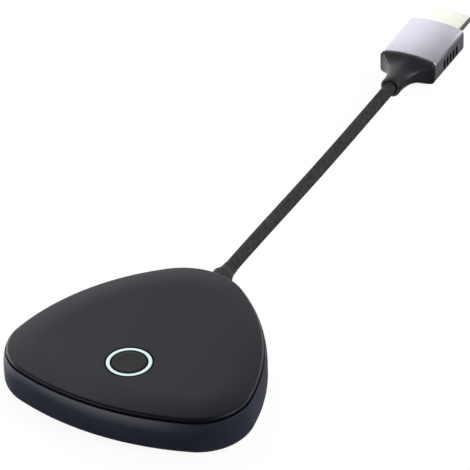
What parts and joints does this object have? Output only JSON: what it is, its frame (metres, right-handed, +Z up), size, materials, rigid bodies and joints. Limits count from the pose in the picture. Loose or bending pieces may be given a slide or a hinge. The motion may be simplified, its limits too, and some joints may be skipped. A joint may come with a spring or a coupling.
{
  "type": "wireless video transmitter",
  "caption": "Rounded three-cornered transmitter body with a lit ring button and a short captive lead that ends in a video plug.",
  "frame": {"origin": "on the surface that the object stands on, under the middle of the body's outline", "axes": "+Z up, +Y from the body's back edge through its nose towards the plug, +X to the right seen from the back edge"},
  "size_m": [0.082, 0.2521, 0.0146],
  "materials": {
    "shell_plastic": "satin moulded plastic",
    "cover_plastic": "satin moulded plastic with a fine grain",
    "foot_rubber": "matt rubber",
    "screw_steel": "zinc plated",
    "light_guide": "frosted light guide, lit pale cyan",
    "black_plastic": "moulded engineering plastic",
    "pale_plastic": "natural nylon",
    "lamp_resin": "clear resin over phosphor",
    "board_laminate": "solder mask",
    "chip_resin": "moulded epoxy",
    "pad_silicone": "soft silicone",
    "sink_aluminium": "extruded",
    "stamped_steel": "tin plated sheet",
    "part_ceramic": "fired ceramic",
    "contact_gold": "gold plated",
    "wire_insulation": "extruded insulation",
    "cable_jacket": "matt jacket with a fine mesh texture",
    "relief_rubber": "matt moulded rubber",
    "boot_plastic": "satin moulded plastic",
    "sleeve_metal": "bead blasted, silver",
    "connector_metal": "bright nickel plated sheet"
  },
  "bodies": {
    "housing": {"bottom_shell": "shell_plastic", "top_cover": "cover_plastic", "rubber_feet": "foot_rubber", "case_screws": "screw_steel", "light_ring": "light_guide", "switch_case": "black_plastic", "ring_lamps": "lamp_resin", "main_board": "board_laminate", "board_screws": "screw_steel", "processor": "chip_resin", "thermal_pad": "pad_silicone", "heat_sink": "sink_aluminium", "video_chip": "chip_resin", "memory_chips": "chip_resin", "power_coils": "chip_resin", "filter_capacitors": "sink_aluminium", "clock_crystal": "stamped_steel", "small_parts": "part_ceramic", "radio_board": "board_laminate", "radio_shield": "stamped_steel", "antenna_left": "contact_gold", "antenna_right": "contact_gold", "socket_shell": "stamped_steel", "socket_tongue": "black_plastic", "wire_header": "pale_plastic", "wire_housing": "pale_plastic", "body_wires": "wire_insulation", "cable_tail": "cable_jacket", "cable_clamp": "black_plastic", "clamp_screws": "screw_steel", "strain_relief": "relief_rubber", "cable": "cable_jacket", "plug_boot": "boot_plastic", "plug_cable_end": "cable_jacket", "crimp_ferrule": "contact_gold", "plug_sleeve": "sleeve_metal", "plug_bezel": "boot_plastic", "connector_shell": "connector_metal", "connector_insulator": "black_plastic", "connector_contacts": "contact_gold", "plug_board": "board_laminate", "plug_chip": "chip_resin", "plug_wires": "wire_insulation"},
    "button": {"button_cap": "cover_plastic", "switch_plunger": "pale_plastic"}
  },
  "joints": [
    {"name": "button_press", "type": "slide", "parent": "housing", "child": "button", "axis": [0, 0, -1], "range_m": [0, 0.0004], "stiffness_N_per_m": 1500}
  ]
}
